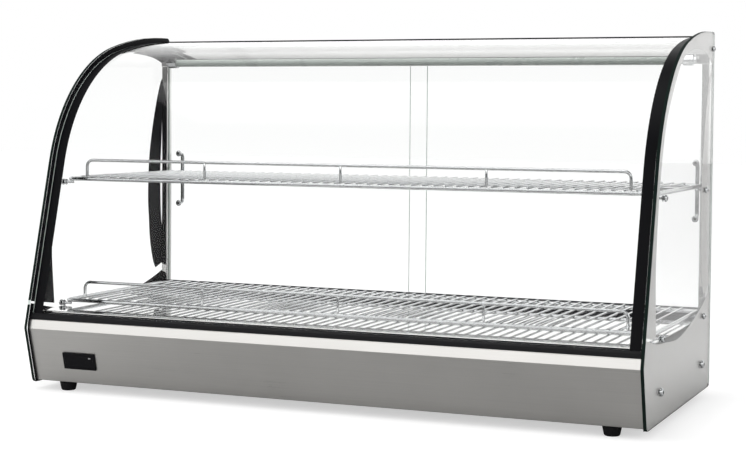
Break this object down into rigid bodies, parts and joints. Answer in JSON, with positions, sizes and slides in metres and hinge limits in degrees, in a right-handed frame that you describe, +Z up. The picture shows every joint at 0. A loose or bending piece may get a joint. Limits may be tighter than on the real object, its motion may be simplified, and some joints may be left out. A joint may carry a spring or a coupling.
{
  "type": "heated display case",
  "caption": "Heated counter display case with a bent front glass, wire shelves with guard rails, a polished deck and sliding glass rear doors.",
  "frame": {"origin": "centre of the case's footprint, on the worktop under the feet", "axes": "+X to the customer's right, -Y towards the customer, +Z up"},
  "size_m": [1.2116, 0.553, 0.6956],
  "materials": {
    "brushed_stainless": "brushed, satin",
    "polished_stainless": "mirror polished",
    "chrome": "bright",
    "anodised_aluminium": "satin anodised",
    "clear_glass": "clear, polished edges",
    "black_rubber": "matt",
    "black_plastic": "satin",
    "dark_lens": "gloss",
    "red_lens": "gloss",
    "white_diffuser": "frosted"
  },
  "bodies": {
    "case": {"base_front_panel": "brushed_stainless", "base_pan": "brushed_stainless", "base_rear_panel": "brushed_stainless", "base_side_left": "brushed_stainless", "base_side_right": "brushed_stainless", "cable_gland": "black_rubber", "deck_plate": "polished_stainless", "display_bezel": "black_plastic", "display_lens": "dark_lens", "front_glass": "clear_glass", "front_glass_gasket": "black_rubber", "indicator_lamp": "red_lens", "lamp_tube": "white_diffuser", "left_base_screw_front": "chrome", "left_base_screw_rear": "chrome", "left_front_foot": "black_rubber", "left_heating_element": "brushed_stainless", "left_lamp_holder": "chrome", "left_lower_shelf_stud_front": "chrome", "left_lower_shelf_stud_rear": "chrome", "left_rear_foot": "black_rubber", "left_rear_post": "polished_stainless", "left_side_glass": "clear_glass", "left_top_screw_rear": "chrome", "left_upper_shelf_stud_front": "chrome", "left_upper_shelf_stud_rear": "chrome", "light_switch_frame": "black_plastic", "lower_door_track": "anodised_aluminium", "lower_guard_rail": "chrome", "lower_shelf": "chrome", "power_switch_frame": "black_plastic", "right_base_screw_front": "chrome", "right_base_screw_rear": "chrome", "right_front_foot": "black_rubber", "right_heating_element": "brushed_stainless", "right_lamp_holder": "chrome", "right_lower_shelf_stud_front": "chrome", "right_lower_shelf_stud_rear": "chrome", "right_rear_foot": "black_rubber", "right_rear_post": "polished_stainless", "right_side_glass": "clear_glass", "right_top_screw_rear": "chrome", "right_upper_shelf_stud_front": "chrome", "right_upper_shelf_stud_rear": "chrome", "temperature_probe": "chrome", "thermostat_body": "black_plastic", "top_rail": "polished_stainless", "upper_door_track": "anodised_aluminium", "upper_guard_rail": "chrome", "upper_shelf": "chrome"},
    "left_door": {"left_sliding_door": "clear_glass", "left_door_handle": "chrome"},
    "right_door": {"right_sliding_door": "clear_glass", "right_door_handle": "chrome"},
    "power_rocker_body": {"power_rocker": "black_plastic"},
    "light_rocker_body": {"light_rocker": "black_plastic"},
    "knob": {"thermostat_knob": "black_plastic"}
  },
  "joints": [
    {"name": "left_door_slide", "type": "slide", "parent": "case", "child": "left_door", "axis": [1, 0, 0], "range_m": [0, 0.5525]},
    {"name": "right_door_slide", "type": "slide", "parent": "case", "child": "right_door", "axis": [-1, 0, 0], "range_m": [0, 0.5525]},
    {"name": "power_switch_tilt", "type": "hinge", "parent": "case", "child": "power_rocker_body", "pos_m": [0.33, 0.2448, 0.078], "axis": [1, 0, 0], "range_deg": [-18, 0]},
    {"name": "light_switch_tilt", "type": "hinge", "parent": "case", "child": "light_rocker_body", "pos_m": [0.376, 0.2448, 0.078], "axis": [1, 0, 0], "range_deg": [-18, 0]},
    {"name": "thermostat_turn", "type": "hinge", "parent": "case", "child": "knob", "pos_m": [0.44, 0.2455, 0.078], "axis": [0, 1, 0], "range_deg": [0, 270]}
  ]
}
